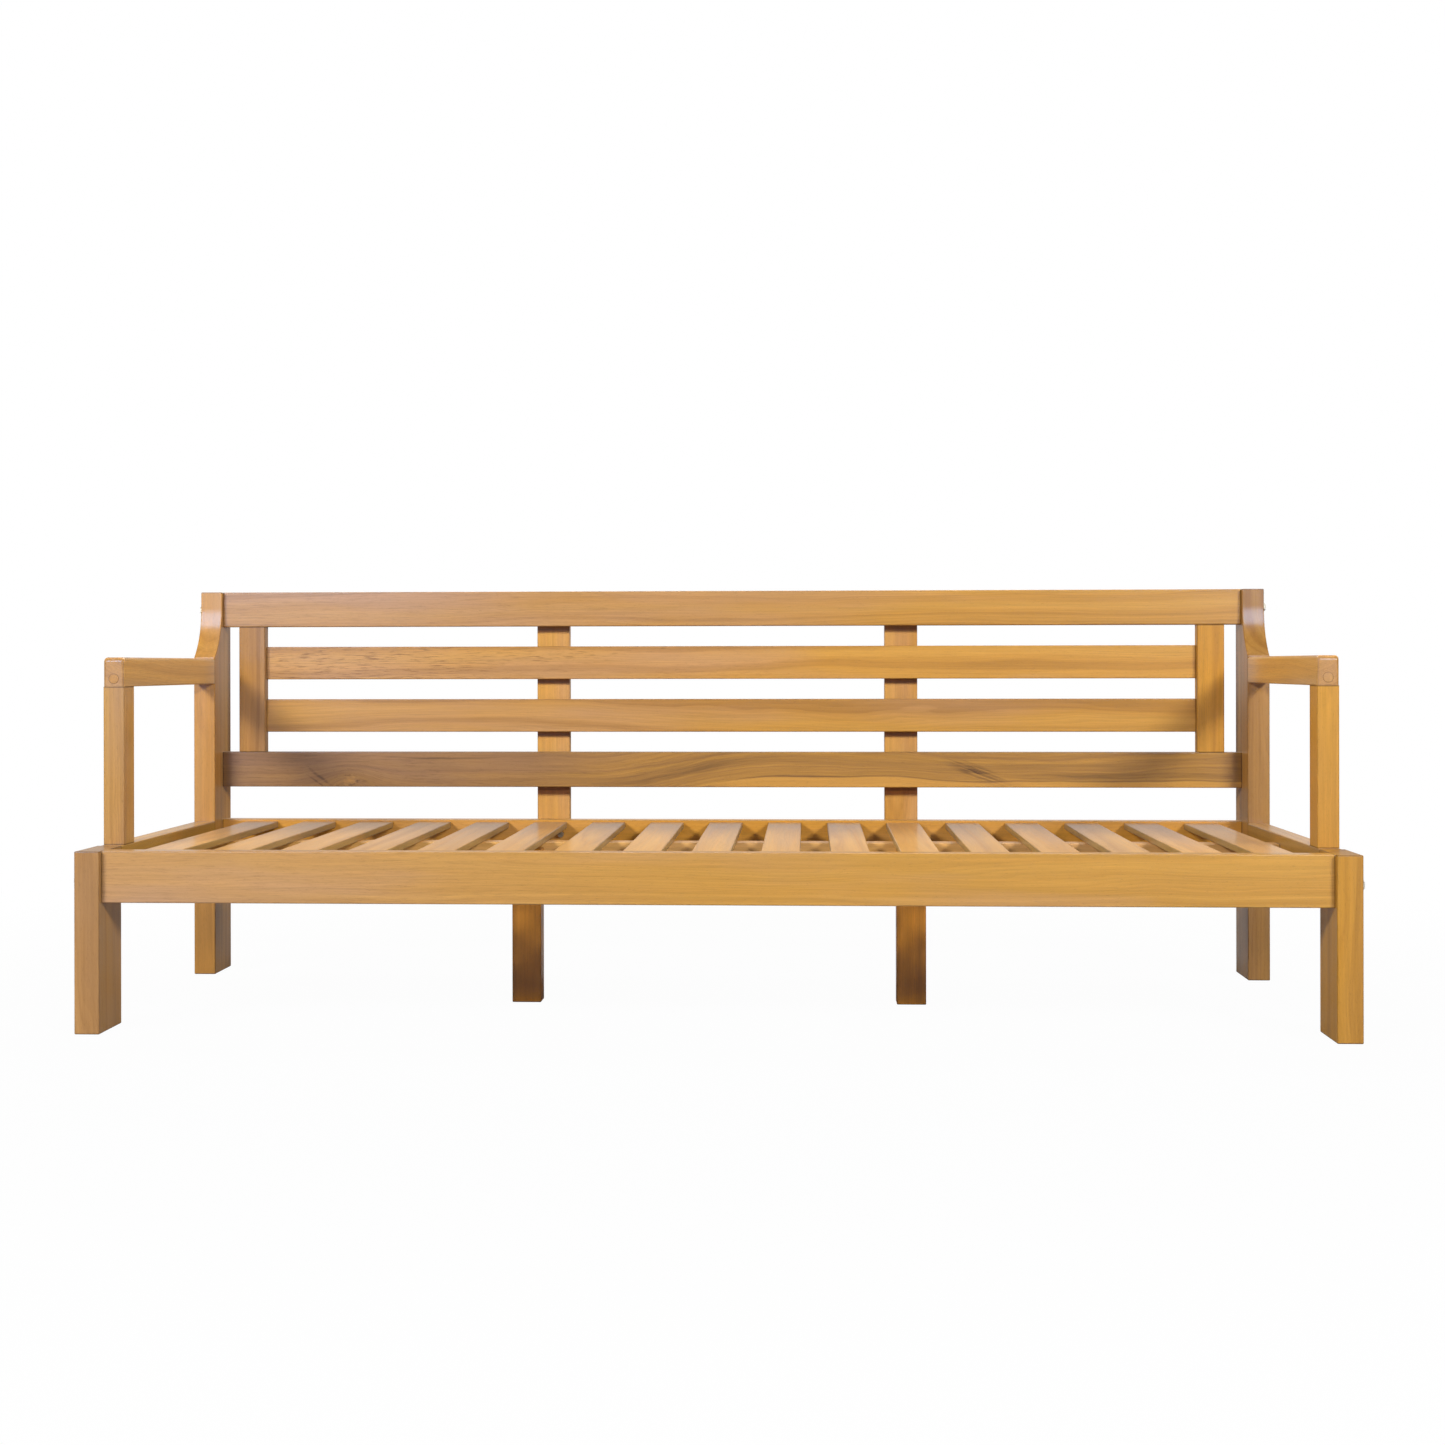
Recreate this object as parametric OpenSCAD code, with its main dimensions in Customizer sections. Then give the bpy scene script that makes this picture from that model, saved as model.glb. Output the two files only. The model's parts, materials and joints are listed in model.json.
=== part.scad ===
// Three-seat garden bench: a frame of varnished hardwood boards, held together by
// mortise-and-tenon joints, dowels and bolts. Nothing on it moves.
// X runs along the bench, +Y points to its back and +Z up. The origin is on the ground,
// under the middle of the bench. Left is -X and right is +X. All sizes are in millimetres.

/* [Overall] */
// Width over the legs
overall_w = 2000; // [1900:10:2100]
// Depth from the front legs to the back posts
overall_d = 668; // [650:1:700]
// Height of the back
overall_h = 720; // [716:1:740]
// Height of the seat frame's top edge
seat_h = 288; // [280:1:296]

/* [End frames] */
// Thickness of legs and back posts
leg_t = 40; // [38:1:44]
// Depth of legs and back posts, on edge
leg_d = 96; // [90:1:100]
// Depth of a back post above the sweep
post_top_d = 54; // [50:1:58]
// Height where the sweep of a back post begins
sweep_low = 596; // [590:1:600]
// Height where the sweep of a back post ends
sweep_high = 690; // [680:1:700]
// Thickness of side rails, arm posts and armrests
arm_t = 35; // [32:1:36]
// Depth of an arm post
arm_post_d = 45; // [38:1:46]
// Distance from a front leg's rear face to the arm post
arm_setback = 14; // [10:1:20]
// Height of the armrest's top
arm_h = 594; // [588:1:596]
// Height of the armrest board itself
armrest_h = 48; // [46:1:52]
// Radius of the armrest's nose, twice that of its long edges
armrest_r = 8; // [5:1:10]

/* [Seat] */
// Height of the four seat rails
rail_h = 82; // [80:1:88]
// Thickness of the front rail
front_rail_t = 28; // [26:1:30]
// Distance from the front legs' front face to the front rail
rail_setback = 10; // [6:1:14]
// Width of a seat slat
seat_slat_w = 62; // [56:1:66]
// Thickness of a seat slat
seat_slat_t = 12; // [11:1:14]
// Distance between slat centres
slat_pitch = 110.5; // [104:0.5:112]
// Drop from the rails' top edge to the slats' top
slat_drop = 4; // [3:1:8]
// Length of the tenon on each end of a seat slat
seat_tenon_l = 8; // [6:1:10]
// Thickness of the centre beam
beam_t = 40; // [36:1:44]
// Height of the centre beam
beam_h = 66; // [60:1:70]
// Distance from the front legs' front face to the beam
beam_setback = 341; // [330:1:350]
// Width of a middle leg
mid_leg_w = 50; // [46:1:54]
// Depth of a middle leg
mid_leg_d = 36; // [32:1:40]

/* [Back] */
// Height of the top and lower back rails
back_rail_h = 66; // [62:1:66]
// Thickness of the lower back rail and the rear seat rail
back_rail_t = 30; // [29:1:32]
// Thickness of the top back rail
top_rail_t = 24; // [23:1:26]
// Height of a back slat
back_slat_h = 62; // [58:1:62]
// Thickness of a back slat
back_slat_t = 20; // [18:1:20]
// Gap between the boards of the back
back_gap = 38; // [36:1:38]
// Width of a back stile
stile_w = 50; // [46:1:54]
// Thickness of a back stile
stile_t = 22; // [21:1:23]
// Gap between a back post and the stile
stile_gap = 32; // [30:1:34]
// Width of a centre post
center_post_w = 62; // [58:1:66]
// Thickness of a centre post
center_post_t = 20; // [18:1:22]
// Distance from the bench's middle to the centre posts and middle legs
center_x = 330; // [320:1:336]

/* [Joinery] */
// Radius of the boards' eased long edges
edge_r = 2; // [1:0.5:4]
// Thickness of the tenons of the end frames
tenon_t = 12; // [10:1:14]
// Length of the tenons of the end frames
tenon_l = 30; // [24:1:32]
// Clearance round a tenon, dowel or screw
fit_gap = 0.1; // [0.05:0.05:0.2]
// Diameter of the dowels beside a rail bolt
dowel_d = 10; // [8:1:10]
// Length of those dowels
dowel_l = 50; // [40:2:50]
// Diameter of the armrest pegs' heads
peg_head_d = 16; // [14:1:18]
// Diameter of the armrest pegs behind their heads
peg_d = 10; // [8:1:10]
// Height of the armrest pegs above the armrests' underside
peg_rise = 13; // [12:1:24]

/* [Hardware] */
// Length of a rail bolt (M8)
rail_bolt_l = 80; // [80:5:85]
// Diameter of a barrel nut
barrel_d = 12; // [12:1:13]
// Length of a barrel nut
barrel_l = 16; // [14:1:16]
// Length of a centre post bolt (M6)
post_bolt_l = 55; // [55:5:60]
// Length of a middle leg bolt (M6)
mid_bolt_l = 90; // [90:5:95]
// Length of a back screw
screw_l = 35; // [30:1:36]

/* [Hidden] */
slat_count = 17;
slat_names = [for (i = [1:slat_count]) str("seat_slat_", i < 10 ? "0" : "", i)];
$fn = 32;

// How far a tenon's root runs into its board, and a cut past the face that it starts from
lap = 1;

// Colours of the wood, board by board, and of the steel
honey = [0.82, 0.61, 0.38];
amber = [0.76, 0.55, 0.31];
straw = [0.86, 0.69, 0.49];
walnut_streak = [0.66, 0.48, 0.32];
shaded = [0.56, 0.41, 0.25];
zinc = [0.72, 0.72, 0.70];

// End frames, right-hand side; the left-hand side is its mirror image
half_w = overall_w / 2;
inner_x = half_w - leg_t;
front_y = -overall_d / 2;
back_y = overall_d / 2;
leg_back_y = front_y + leg_d;
post_y = back_y - leg_d;
sweep_y = back_y - post_top_d;
sweep_rise = sweep_high - sweep_low;
sweep_run = sweep_y - post_y;
sweep_r = (sweep_rise * sweep_rise + sweep_run * sweep_run) / (2 * sweep_run);
arm_y = leg_back_y + arm_setback;
armrest_z = arm_h - armrest_h;
arm_mid_x = inner_x + arm_t / 2;

// Seat frame
rail_z = seat_h - rail_h;
front_rail_y = front_y + rail_setback;
front_rail_back_y = front_rail_y + front_rail_t;
mid_leg_gap = 8;
slat_top = seat_h - slat_drop;
slat_z = slat_top - seat_slat_t;
beam_y = front_y + beam_setback;
beam_z = slat_z - beam_h;
mid_leg_y = beam_y - mid_leg_d;
mid_leg_top = slat_z - mid_leg_gap;

// Back, whose boards share one rear plane in front of the centre posts
center_post_drop = 8;
back_plane_y = back_y - center_post_t;
rear_rail_y = back_plane_y - back_rail_t;
top_rail_y = back_plane_y - top_rail_t;
back_slat_y = back_plane_y - back_slat_t;
top_rail_z = overall_h - back_rail_h;
upper_slat_z = top_rail_z - back_gap - back_slat_h;
lower_slat_z = upper_slat_z - back_gap - back_slat_h;
lower_rail_z = lower_slat_z - back_gap - back_rail_h;
stile_z = lower_rail_z + back_rail_h;
stile_x = inner_x - stile_gap - stile_w;
center_post_top = overall_h - center_post_drop;

// Tenons of the seat and back
arm_tenon = [18, 24, 25];
arm_top_tenon_h = 36;
rail_shoulder = 10;
armrest_tenon_h = 28;
beam_tenon = [16, 20, 46];
back_tenon_t = 7;
back_tenon_inset = 3;
back_tenon_h = 46;
slat_tenon_inset = 1;
slat_tenon_l = 18;
seat_tenon_w = 50;
seat_tenon_t = 8;
seat_slat_play = 0.5;
stile_tenon_w = 30;
stile_tenon_l = 14;

// Bolted rail joints: [y and z of the bolt, the rail's rear face, the dowels' distance from the bolt]
seat_bolt_rise = 34;
seat_bolt_z = rail_z + seat_bolt_rise;
rail_joints = [
    [front_rail_y + front_rail_t / 2, seat_bolt_z, front_rail_back_y, 22],
    [rear_rail_y + back_rail_t / 2, seat_bolt_z, back_plane_y, 22],
    [rear_rail_y + back_rail_t / 2, lower_rail_z + back_rail_h / 2, back_plane_y, 21],
    [top_rail_y + top_rail_t / 2, top_rail_z + back_rail_h / 2, back_plane_y, 21]
];

function joint_y(joint) = joint[0];
function joint_z(joint) = joint[1];
function joint_back(joint) = joint[2];
function dowel_rise(joint) = joint[3];

// M8 and M6 hardware: [shank, head across flats, head height, nut height, washer, washer thickness]
m8 = [8, 13, 5.3, 6.5, 16, 1.6];
m6 = [6, 10, 4, 5, 12, 1.2];
function shank_d(m) = m[0];
function across_flats(m) = m[1];
function head_h(m) = m[2];
function nut_h(m) = m[3];
function washer_d(m) = m[4];
function washer_t(m) = m[5];

// Play round the bolts' shanks, in the washers and in the threads, and the bevel on a bolt's tip
bolt_clearance = 0.5;
washer_play = 0.4;
thread_play = 0.2;
bolt_tip = 1;

// Room in the wood past the end of a bolt, a dowel or a peg
bolt_room = 4;
dowel_room = 1;
peg_room = 0.5;
post_hole_l = 60;
barrel_depth = 30;
barrel_x = inner_x - barrel_depth;
counterbore_d = 17;
counterbore_depth = 6.5;
post_bolt_places = [[-17, rail_z + 55], [17, rail_z + 27]];
mid_bolt_places = [[-10, beam_z + 44], [10, beam_z + 18]];
screw_dx = 16;
screw_d = 5;
screw_head_d = 10;
screw_head_h = 4;
screw_overlap = 0.01;
screw_heights = [
    lower_rail_z + back_rail_h / 2,
    lower_slat_z + back_slat_h / 2,
    upper_slat_z + back_slat_h / 2,
    top_rail_z + back_rail_h / 2
];
slat_dowel_d = 8;
slat_dowel_l = 24;
slat_dowel_up = 7.5;
peg_l = 32;
peg_head_l = 6;

// ---------- Shared shapes ----------

// Rectangle with eased corners
module eased_rect(a, b, r) {
    translate([r, 0]) square([a - 2 * r, b]);
    translate([0, r]) square([a, b - 2 * r]);
    for (x = [r, a - r], y = [r, b - r]) translate([x, y]) circle(r, $fn = 24);
}

// Boards from one corner, with the grain and the eased edges along X, Y or Z
module board_x(at, size) {
    translate(at) rotate([90, 0, 90]) linear_extrude(size.x) eased_rect(size.y, size.z, edge_r);
}
module board_y(at, size, r = edge_r) {
    translate(at + [0, size.y, 0]) rotate([90, 0, 0]) linear_extrude(size.y) eased_rect(size.x, size.z, r);
}
module board_z(at, size) {
    translate(at) linear_extrude(size.z) eased_rect(size.x, size.y, edge_r);
}

// Tenon from one corner; gap widens it all round into its mortise
module tenon(at, size, gap) {
    translate(at - gap * [1, 1, 1]) cube(size + 2 * gap * [1, 1, 1]);
}

// Round bars from a point, along +X, +Y or +Z
module bar_x(at, d, l) {
    translate(at) rotate([0, 90, 0]) cylinder(d = d, h = l);
}
module bar_y(at, d, l) {
    translate(at) rotate([-90, 0, 0]) cylinder(d = d, h = l);
}
module bar_z(at, d, l) {
    translate(at) cylinder(d = d, h = l);
}

// Right-hand piece, or its mirror image on the left
module on_side(side) {
    if (side > 0) children();
    else mirror([1, 0, 0]) children();
}

// Hexagon bolt with its seat at the origin, head up and shank down
module hex_bolt(m, l) {
    cylinder(d = across_flats(m) / cos(30), h = head_h(m), $fn = 6);
    translate([0, 0, bolt_tip - l]) cylinder(d = shank_d(m), h = l - bolt_tip);
    translate([0, 0, -l]) cylinder(d1 = shank_d(m) - 2 * bolt_tip, d2 = shank_d(m), h = bolt_tip);
}

// Washer from the origin up
module washer(m) {
    difference() {
        cylinder(d = washer_d(m), h = washer_t(m));
        translate([0, 0, -lap]) cylinder(d = shank_d(m) + washer_play, h = washer_t(m) + 2 * lap);
    }
}

// Hexagon nut from the origin up
module hex_nut(m) {
    difference() {
        cylinder(d = across_flats(m) / cos(30), h = nut_h(m), $fn = 6);
        translate([0, 0, -lap]) cylinder(d = shank_d(m) + thread_play, h = nut_h(m) + 2 * lap);
    }
}

// ---------- Joints, each drawn once for the tenon and, widened, for its mortise ----------

module side_rail_tenons(gap = 0) {
    size = [tenon_t, tenon_l + lap, rail_h - 2 * rail_shoulder];
    x = arm_mid_x - tenon_t / 2;
    tenon([x, leg_back_y - tenon_l, rail_z + rail_shoulder], size, gap);
    tenon([x, post_y - lap, rail_z + rail_shoulder], size, gap);
}

module arm_post_tenons(gap = 0) {
    corner = [arm_mid_x - arm_tenon.x / 2, arm_y + (arm_post_d - arm_tenon.y) / 2, 0];
    tenon(corner + [0, 0, seat_h - arm_tenon.z], arm_tenon + [0, 0, lap], gap);
    tenon(corner + [0, 0, armrest_z - lap], [arm_tenon.x, arm_tenon.y, arm_top_tenon_h + lap], gap);
}

module armrest_tenon(gap = 0) {
    z = armrest_z + (armrest_h - armrest_tenon_h) / 2;
    tenon([arm_mid_x - tenon_t / 2, post_y - lap, z], [tenon_t, tenon_l + lap, armrest_tenon_h], gap);
}

module beam_tenon_right(gap = 0) {
    z = beam_z + (beam_h - beam_tenon.z) / 2;
    tenon([inner_x - lap, beam_y + (beam_t - beam_tenon.y) / 2, z], beam_tenon + [lap, 0, 0], gap);
}

module slat_end_right(slat_bottom, gap = 0) {
    z = slat_bottom + (back_slat_h - back_tenon_h) / 2;
    size = [slat_tenon_l + lap, back_tenon_t, back_tenon_h];
    tenon([stile_x - lap, back_slat_y + slat_tenon_inset, z], size, gap);
}

module stile_tenons(gap = 0) {
    x = stile_x + (stile_w - stile_tenon_w) / 2;
    y = top_rail_y + back_tenon_inset;
    size = [stile_tenon_w, back_tenon_t, stile_tenon_l + lap];
    tenon([x, y, stile_z - stile_tenon_l], size, gap);
    tenon([x, y, top_rail_z - lap], size, gap);
}

// Holes in a right-hand leg or post for one bolted rail
module post_joint_holes(joint) {
    bar_x([inner_x - lap, joint_y(joint), joint_z(joint)], shank_d(m8) + bolt_clearance, leg_t + 2 * lap);
    dowel_hole_l = dowel_l / 2 + dowel_room + lap;
    for (dz = [-dowel_rise(joint), dowel_rise(joint)])
        bar_x([inner_x - lap, joint_y(joint), joint_z(joint) + dz], dowel_d + 2 * fit_gap, dowel_hole_l);
}

// Holes in the right-hand end of a bolted rail: bolt, dowels and the barrel nut's hole
module rail_joint_holes(joint) {
    bolt_end_x = half_w + washer_t(m8) - rail_bolt_l;
    bolt_hole_x = bolt_end_x - bolt_room;
    bolt_hole_l = inner_x + lap - bolt_hole_x;
    bar_x([bolt_hole_x, joint_y(joint), joint_z(joint)], shank_d(m8) + bolt_clearance, bolt_hole_l);
    dowel_hole_x = inner_x - dowel_l / 2 - dowel_room;
    dowel_hole_l = inner_x + lap - dowel_hole_x;
    for (dz = [-dowel_rise(joint), dowel_rise(joint)])
        bar_x([dowel_hole_x, joint_y(joint), joint_z(joint) + dz], dowel_d + 2 * fit_gap, dowel_hole_l);
    barrel_y = joint_y(joint) - barrel_l / 2 - fit_gap;
    bar_y([barrel_x, barrel_y, joint_z(joint)], barrel_d + 2 * fit_gap, joint_back(joint) - barrel_y + lap);
}

// The same holes at both ends of a rail
module both_rail_ends(joint) {
    for (side = [-1, 1]) on_side(side) rail_joint_holes(joint);
}

module seat_slat_tenons(i, gap = 0) {
    x = slat_x(i) + (seat_slat_w - seat_tenon_w) / 2;
    z = slat_z + (seat_slat_t - seat_tenon_t) / 2;
    size = [seat_tenon_w, seat_tenon_l + 2 * seat_slat_play, seat_tenon_t];
    tenon([x, front_rail_back_y - seat_tenon_l, z], size, gap);
    tenon([x, rear_rail_y + seat_tenon_l - size.y, z], size, gap);
}

// Mortises for the ends of all seat slats
module seat_slat_mortises() {
    for (i = [0:slat_count - 1]) seat_slat_tenons(i, fit_gap);
}

// ---------- End frames ----------

module front_leg(side) {
    color(amber) on_side(side) difference() {
        board_z([inner_x, front_y, 0], [leg_t, leg_d, seat_h]);
        side_rail_tenons(fit_gap);
        post_joint_holes(rail_joints[0]);
    }
}

// Outline of a back post, seen from the side: [depth, height]
module back_post_outline() {
    translate([post_y, 0]) square([leg_d, sweep_low]);
    translate([sweep_y, 0]) square([post_top_d, overall_h]);
    difference() {
        translate([post_y, sweep_low - lap]) square([sweep_run + lap, sweep_rise + lap]);
        translate([sweep_y - sweep_r, sweep_high]) circle(sweep_r, $fn = 96);
    }
}

module back_post(side) {
    color(amber) on_side(side) difference() {
        translate([inner_x, 0, 0]) rotate([90, 0, 90]) linear_extrude(leg_t) back_post_outline();
        side_rail_tenons(fit_gap);
        armrest_tenon(fit_gap);
        for (i = [1:3]) post_joint_holes(rail_joints[i]);
    }
}

module side_rail(side) {
    color(honey) on_side(side) difference() {
        union() {
            board_y([inner_x, leg_back_y, rail_z], [arm_t, post_y - leg_back_y, rail_h]);
            side_rail_tenons();
        }
        arm_post_tenons(fit_gap);
        beam_tenon_right(fit_gap);
    }
}

module arm_post(side) {
    color(honey) on_side(side) difference() {
        union() {
            board_z([inner_x, arm_y, seat_h], [arm_t, arm_post_d, armrest_z - seat_h]);
            arm_post_tenons();
        }
        arm_peg_hole();
    }
}

// Hole for an armrest peg, wider where its head goes
module arm_peg_hole() {
    start = [arm_mid_x, arm_y - lap, armrest_z + peg_rise];
    bar_y(start, peg_d + 2 * fit_gap, peg_l + lap + peg_room);
    bar_y(start, peg_head_d + 2 * fit_gap, peg_head_l + lap + fit_gap);
}

// Armrest with a rounded nose, cut where its side outline and its section meet
module armrest(side) {
    length = post_y - arm_y;
    color(amber) on_side(side) difference() {
        union() {
            intersection() {
                board_y([inner_x, arm_y, armrest_z], [arm_t, length, armrest_h], armrest_r / 2);
                translate([inner_x - lap, arm_y, armrest_z]) rotate([90, 0, 90])
                    linear_extrude(arm_t + 2 * lap) nose_outline(length);
            }
            armrest_tenon();
        }
        arm_post_tenons(fit_gap);
        arm_peg_hole();
    }
}

// Side outline of an armrest, rounded at its top front corner
module nose_outline(length) {
    square([length, armrest_h - armrest_r]);
    translate([armrest_r, 0]) square([length - armrest_r, armrest_h]);
    translate([armrest_r, armrest_h - armrest_r]) circle(armrest_r);
}

// ---------- Seat ----------

// Left edge of a seat slat, counted from 0 at the left
function slat_x(i) = (i - (slat_count - 1) / 2) * slat_pitch - seat_slat_w / 2;
seat_span = rear_rail_y - front_rail_back_y;

module front_rail() {
    color(honey) difference() {
        board_x([-inner_x, front_rail_y, rail_z], [2 * inner_x, front_rail_t, rail_h]);
        seat_slat_mortises();
        both_rail_ends(rail_joints[0]);
    }
}

module rear_rail() {
    color(honey) difference() {
        board_x([-inner_x, rear_rail_y, rail_z], [2 * inner_x, back_rail_t, rail_h]);
        seat_slat_mortises();
        both_rail_ends(rail_joints[1]);
        post_bolt_holes();
    }
}

module center_beam() {
    color(shaded) difference() {
        union() {
            board_x([-inner_x, beam_y, beam_z], [2 * inner_x, beam_t, beam_h]);
            for (side = [-1, 1]) on_side(side) beam_tenon_right();
        }
        mid_bolt_holes();
        for (i = [0:slat_count - 1]) slat_dowel(i, fit_gap);
    }
}

module mid_leg(side) {
    color(shaded) difference() {
        board_z([side * center_x - mid_leg_w / 2, mid_leg_y, 0], [mid_leg_w, mid_leg_d, mid_leg_top]);
        mid_bolt_holes();
    }
}

module seat_slat(i) {
    size = [seat_slat_w, seat_span - 2 * seat_slat_play, seat_slat_t];
    color(straw) difference() {
        union() {
            board_y([slat_x(i), front_rail_back_y + seat_slat_play, slat_z], size);
            seat_slat_tenons(i);
        }
        slat_dowel(i, fit_gap);
    }
}

// Dowel from the beam up into one slat; gap widens it into its hole
module slat_dowel(i, gap = 0) {
    at = [slat_x(i) + seat_slat_w / 2, beam_y + beam_t / 2, slat_z + slat_dowel_up - slat_dowel_l - gap];
    bar_z(at, slat_dowel_d + 2 * gap, slat_dowel_l + 2 * gap);
}

// ---------- Back ----------

module back_top_rail() {
    color(honey) difference() {
        board_x([-inner_x, top_rail_y, top_rail_z], [2 * inner_x, top_rail_t, back_rail_h]);
        both_rail_ends(rail_joints[3]);
        for (side = [-1, 1]) on_side(side) stile_tenons(fit_gap);
        back_screw_holes();
    }
}

module back_lower_rail() {
    color(walnut_streak) difference() {
        board_x([-inner_x, rear_rail_y, lower_rail_z], [2 * inner_x, back_rail_t, back_rail_h]);
        both_rail_ends(rail_joints[2]);
        for (side = [-1, 1]) on_side(side) stile_tenons(fit_gap);
        back_screw_holes();
    }
}

module back_slat(z) {
    color(honey) difference() {
        union() {
            board_x([-stile_x, back_slat_y, z], [2 * stile_x, back_slat_t, back_slat_h]);
            for (side = [-1, 1]) on_side(side) slat_end_right(z);
        }
        back_screw_holes();
    }
}

module back_stile(side) {
    color(amber) on_side(side) difference() {
        union() {
            board_z([stile_x, rear_rail_y, stile_z], [stile_w, stile_t, top_rail_z - stile_z]);
            stile_tenons();
        }
        slat_end_right(upper_slat_z, fit_gap);
        slat_end_right(lower_slat_z, fit_gap);
    }
}

module center_post(side) {
    size = [center_post_w, center_post_t, center_post_top - rail_z];
    color(honey) difference() {
        board_z([side * center_x - center_post_w / 2, back_plane_y, rail_z], size);
        post_bolt_holes();
        back_screw_holes();
    }
}

// ---------- Hardware ----------

// Runs its children at every bolted rail joint, with +Z along the bolt towards its head
module at_rail_bolts() {
    for (side = [-1, 1], joint = rail_joints)
        on_side(side) translate([half_w, joint_y(joint), joint_z(joint)]) rotate([0, 90, 0]) children();
}

module frame_bolts() {
    color(zinc) at_rail_bolts() translate([0, 0, washer_t(m8)]) hex_bolt(m8, rail_bolt_l);
}

module frame_washers() {
    color(zinc) at_rail_bolts() washer(m8);
}

module barrel_nuts() {
    slot = [barrel_d, 1.5, 1.6];
    color(zinc) for (side = [-1, 1], joint = rail_joints)
        on_side(side) translate([barrel_x, joint_y(joint), joint_z(joint)]) difference() {
            bar_y([0, -barrel_l / 2, 0], barrel_d, barrel_l);
            bar_x([-barrel_d, 0, 0], shank_d(m8) + thread_play, 2 * barrel_d);
            translate([-slot.x / 2, barrel_l / 2 - slot.y, -slot.z / 2]) cube(slot + [0, lap, 0]);
        }
}

module frame_dowels() {
    x = inner_x - dowel_l / 2;
    color(straw) for (side = [-1, 1], joint = rail_joints, dz = [-dowel_rise(joint), dowel_rise(joint)])
        on_side(side) bar_x([x, joint_y(joint), joint_z(joint) + dz], dowel_d, dowel_l);
}

// Runs its children at every centre post bolt, in the counterbore, with +Z towards the back
module at_post_bolts() {
    for (side = [-1, 1], place = post_bolt_places)
        translate([side * (center_x + place[0]), back_y - counterbore_depth, place[1]])
            rotate([-90, 0, 0]) children();
}

module post_bolt_holes() {
    at_post_bolts() {
        cylinder(d = counterbore_d, h = counterbore_depth + lap);
        translate([0, 0, -post_hole_l]) cylinder(d = shank_d(m6) + bolt_clearance, h = post_hole_l + lap);
    }
}

// Distance from the counterbore's floor to the rear rail's front face
post_grip = center_post_t - counterbore_depth + back_rail_t;

module post_bolts() {
    color(zinc) at_post_bolts() translate([0, 0, washer_t(m6)]) hex_bolt(m6, post_bolt_l);
}

module post_washers() {
    color(zinc) at_post_bolts() {
        washer(m6);
        translate([0, 0, -post_grip - washer_t(m6)]) washer(m6);
    }
}

module post_nuts() {
    color(zinc) at_post_bolts() translate([0, 0, -post_grip - washer_t(m6) - nut_h(m6)]) hex_nut(m6);
}

// Runs its children at every middle leg bolt, with +Z towards the front
module at_mid_bolts() {
    for (side = [-1, 1], place = mid_bolt_places)
        translate([side * (center_x + place[0]), mid_leg_y, place[1]]) rotate([90, 0, 0]) children();
}

module mid_bolt_holes() {
    at_mid_bolts() translate([0, 0, -mid_grip - lap])
        cylinder(d = shank_d(m6) + bolt_clearance, h = mid_grip + 2 * lap);
}

// Thickness of a middle leg and the beam together
mid_grip = mid_leg_d + beam_t;

module mid_leg_bolts() {
    color(zinc) at_mid_bolts() translate([0, 0, washer_t(m6)]) hex_bolt(m6, mid_bolt_l);
}

module mid_leg_washers() {
    color(zinc) at_mid_bolts() {
        washer(m6);
        translate([0, 0, -mid_grip - washer_t(m6)]) washer(m6);
    }
}

module mid_leg_nuts() {
    color(zinc) at_mid_bolts() translate([0, 0, -mid_grip - washer_t(m6) - nut_h(m6)]) hex_nut(m6);
}

module slat_dowels() {
    color(straw) for (i = [0:slat_count - 1]) slat_dowel(i);
}

// Runs its children at every back screw, on the centre posts' rear face, with +Z into the wood
module at_back_screws() {
    for (side = [-1, 1], dx = [-screw_dx, screw_dx], z = screw_heights)
        translate([side * center_x + dx, back_y, z]) rotate([90, 0, 0]) children();
}

// Countersunk screw body; gap widens it into its hole
module screw_body(gap = 0) {
    cylinder(d1 = screw_head_d + 2 * gap, d2 = screw_d + 2 * gap, h = screw_head_h);
    cylinder(d = screw_d + 2 * gap, h = screw_l + gap);
}

module back_screw_holes() {
    at_back_screws() {
        screw_body(fit_gap);
        translate([0, 0, -lap]) cylinder(d = screw_head_d + 2 * fit_gap, h = lap + screw_overlap);
    }
}

module back_screws() {
    recess = [5, 1.2, 2];
    color(zinc) at_back_screws() difference() {
        screw_body();
        for (a = [0, 90])
            rotate([0, 0, a]) translate([-recess.x / 2, -recess.y / 2, -lap]) cube(recess + [0, 0, lap]);
    }
}

module arm_pegs() {
    start = [arm_mid_x, arm_y, armrest_z + peg_rise];
    color(amber) for (side = [-1, 1])
        on_side(side) {
            bar_y(start, peg_d, peg_l);
            bar_y(start, peg_head_d, peg_head_l);
        }
}

// ---------- The nodes ----------

front_leg(-1);  // front_leg_left
front_leg(1);  // front_leg_right
back_post(-1);  // back_post_left
back_post(1);  // back_post_right
side_rail(-1);  // side_rail_left
side_rail(1);  // side_rail_right
arm_post(-1);  // arm_post_left
arm_post(1);  // arm_post_right
armrest(-1);  // armrest_left
armrest(1);  // armrest_right
front_rail();
rear_rail();
center_beam();
mid_leg(-1);  // mid_leg_left
mid_leg(1);  // mid_leg_right
center_post(-1);  // center_post_left
center_post(1);  // center_post_right
back_top_rail();
back_lower_rail();
back_slat(upper_slat_z);  // back_slat_upper
back_slat(lower_slat_z);  // back_slat_lower
back_stile(-1);  // back_stile_left
back_stile(1);  // back_stile_right
for (i = [0:slat_count - 1]) seat_slat(i);
frame_bolts();
frame_washers();
barrel_nuts();
frame_dowels();
post_bolts();
post_washers();
post_nuts();
mid_leg_bolts();
mid_leg_washers();
mid_leg_nuts();
slat_dowels();
back_screws();
arm_pegs();
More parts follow.
